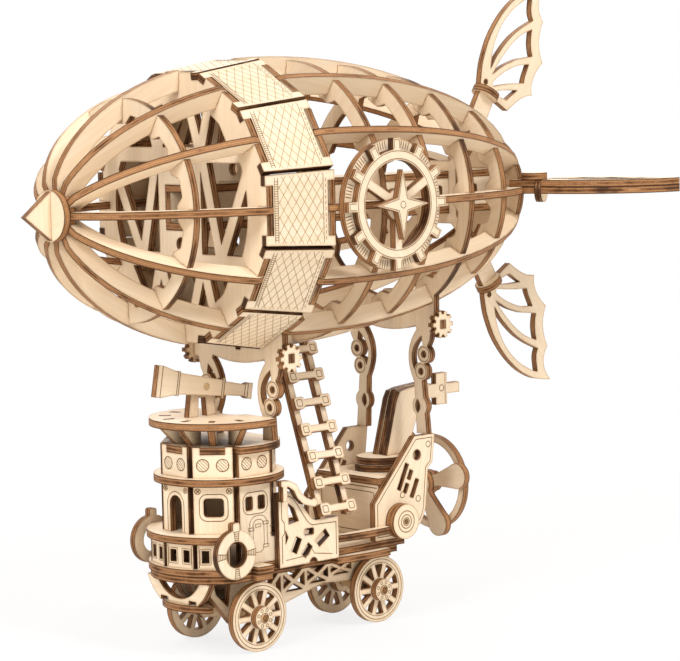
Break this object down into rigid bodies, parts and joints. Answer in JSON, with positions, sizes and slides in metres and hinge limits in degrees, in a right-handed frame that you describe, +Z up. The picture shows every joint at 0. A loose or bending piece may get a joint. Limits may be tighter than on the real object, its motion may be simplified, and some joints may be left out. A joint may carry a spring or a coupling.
{
  "type": "airship model",
  "caption": "Plywood puzzle model of an airship: a ribbed cigar hull with bat-wing tail fins on struts over a wheeled gondola with a tower, telescope, ladder and propeller.",
  "frame": {"origin": "on the floor under the middle of the whole model, in its plane of symmetry", "axes": "+X along the hull towards the tail, -X towards the nose, +Y to starboard, +Z up"},
  "size_m": [0.19, 0.1056, 0.1779],
  "materials": {
    "plywood": "bare plywood, laser-cut edges burnt brown",
    "dowel": "bare round dowel"
  },
  "bodies": {
    "airframe": {"nose_spike": "plywood", "nose_cap": "plywood", "end_discs": "plywood", "front_ribs": "plywood", "rear_ribs": "plywood", "ring_frames": "plywood", "belt_bulkhead": "plywood", "front_strut_ring": "plywood", "belt_panels": "plywood", "rear_strut_ring": "plywood", "spine_decks": "plywood", "spine_sides": "plywood", "fins": "plywood", "fin_leaves": "plywood", "fin_collars": "plywood", "medallion_backs": "plywood", "medallion_wheels": "plywood", "medallion_stars": "plywood", "strut_gears": "plywood", "ladder_rails": "plywood", "ladder_rungs": "plywood", "floor_lower": "plywood", "floor_upper": "plywood", "chassis_sides": "plywood", "front_bolster": "plywood", "under_plate": "plywood", "gallery_panels": "plywood", "gallery_deck": "plywood", "tower_panels": "plywood", "side_walls": "plywood", "mid_ring": "plywood", "parapet_panels": "plywood", "top_plate": "plywood", "deck_supports": "plywood", "lookout_deck": "plywood", "telescope_stand": "plywood", "telescope_pin": "dowel", "life_rings": "plywood", "truss_panels": "plywood", "handrails": "plywood", "running_boards": "plywood", "engine_plates": "plywood", "hub_discs": "plywood", "cabin_walls": "plywood", "cabin_deck": "plywood", "turret_lower": "plywood", "turret_upper": "plywood", "pipe_cheeks": "plywood", "pipe_core": "plywood"},
    "front_wheelset": {"front_axle": "dowel", "front_wheels": "plywood", "front_hubs": "plywood"},
    "rear_wheelset": {"rear_axle": "dowel", "rear_wheels": "plywood", "rear_hubs": "plywood"},
    "propeller": {"propeller_front": "plywood", "propeller_rear": "plywood", "propeller_hoop": "plywood", "propeller_shaft": "dowel"},
    "telescope": {"telescope": "plywood"}
  },
  "joints": [
    {"name": "front_wheels_roll", "type": "hinge", "parent": "airframe", "child": "front_wheelset", "pos_m": [-0.0327, 0, 0.00935], "axis": [0, 1, 0], "continuous": true},
    {"name": "rear_wheels_roll", "type": "hinge", "parent": "airframe", "child": "rear_wheelset", "pos_m": [0.0144, 0, 0.00935], "axis": [0, 1, 0], "continuous": true},
    {"name": "propeller_spin", "type": "hinge", "parent": "airframe", "child": "propeller", "pos_m": [0.0408, 0, 0.0352], "axis": [1, 0, 0], "continuous": true},
    {"name": "telescope_tilt", "type": "hinge", "parent": "airframe", "child": "telescope", "pos_m": [-0.0382, 0, 0.07105], "axis": [0, 1, 0], "range_deg": [-12, 10]}
  ]
}
